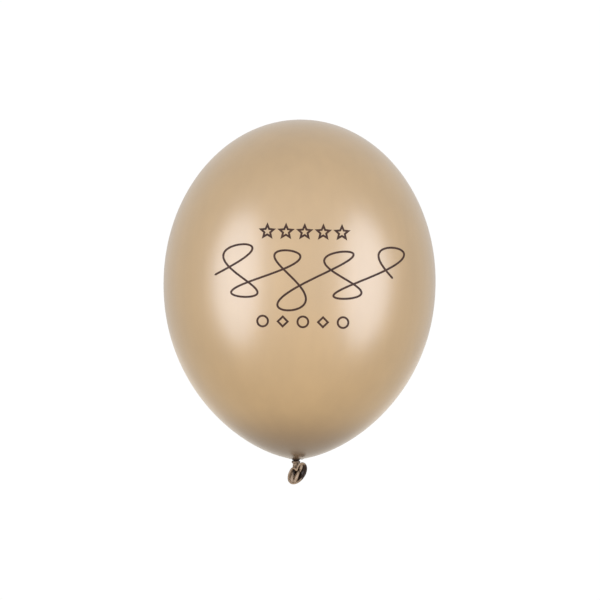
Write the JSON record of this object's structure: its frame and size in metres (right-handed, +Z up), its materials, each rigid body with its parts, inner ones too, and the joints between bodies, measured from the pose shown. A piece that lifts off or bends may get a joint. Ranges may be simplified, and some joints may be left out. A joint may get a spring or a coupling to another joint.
{
  "type": "latex balloon",
  "caption": "Inflated pear-shaped latex balloon, tied in its own neck, with a knot, an open flared tail with a rolled lip, and line-drawn ink on its front.",
  "frame": {"origin": "the neck, in the crease between the blown skin and the knot, where a ribbon is tied", "axes": "+Z up the balloon's axis towards its crown, -Y out of the printed front, +X to the right as seen from the front"},
  "size_m": [0.28, 0.2806, 0.3756],
  "materials": {
    "blown_latex": "thin stretched latex with pearl pigment, satin champagne gold, soft wide highlights",
    "bunched_latex": "unstretched latex with pearl pigment, deeper and more saturated champagne gold, satin",
    "ink": "dark brown screen-printed ink, matte"
  },
  "bodies": {
    "envelope": {"envelope": "blown_latex", "ink_star_1": "ink", "ink_star_2": "ink", "ink_star_3": "ink", "ink_star_4": "ink", "ink_star_5": "ink", "ink_streamer_1": "ink", "ink_streamer_2": "ink", "ink_streamer_3": "ink", "ink_streamer_4": "ink", "ink_streamer_5": "ink", "ink_streamer_6": "ink", "ink_streamer_7": "ink", "ink_confetti_1": "ink", "ink_confetti_2": "ink", "ink_confetti_3": "ink", "ink_confetti_4": "ink", "ink_confetti_5": "ink"},
    "throat": {"throat": "bunched_latex"},
    "neck": {"neck_strand": "bunched_latex"},
    "knot": {"knot_turn": "bunched_latex", "knot_tuck": "bunched_latex"},
    "tail": {"tail": "bunched_latex", "rolled_lip": "bunched_latex"}
  },
  "joints": [
    {"name": "neck_twist", "type": "hinge", "parent": "envelope", "child": "throat", "pos_m": [0, 0, 0], "axis": [0, 0, 1], "range_deg": [-90, 90], "stiffness_Nm_per_rad": 0.0001},
    {"name": "neck_nod", "type": "hinge", "parent": "throat", "child": "neck", "pos_m": [0, 0, 0], "axis": [1, 0, 0], "range_deg": [-10, 20], "stiffness_Nm_per_rad": 0.0002},
    {"name": "knot_sway", "type": "hinge", "parent": "neck", "child": "knot", "pos_m": [0, 0, -0.003], "axis": [0, 1, 0], "range_deg": [-8, 14], "stiffness_Nm_per_rad": 0.0002},
    {"name": "tail_flap", "type": "hinge", "parent": "knot", "child": "tail", "pos_m": [0, 0, -0.0075], "axis": [1, 0, 0], "range_deg": [-6, 32], "stiffness_Nm_per_rad": 0.0001}
  ]
}
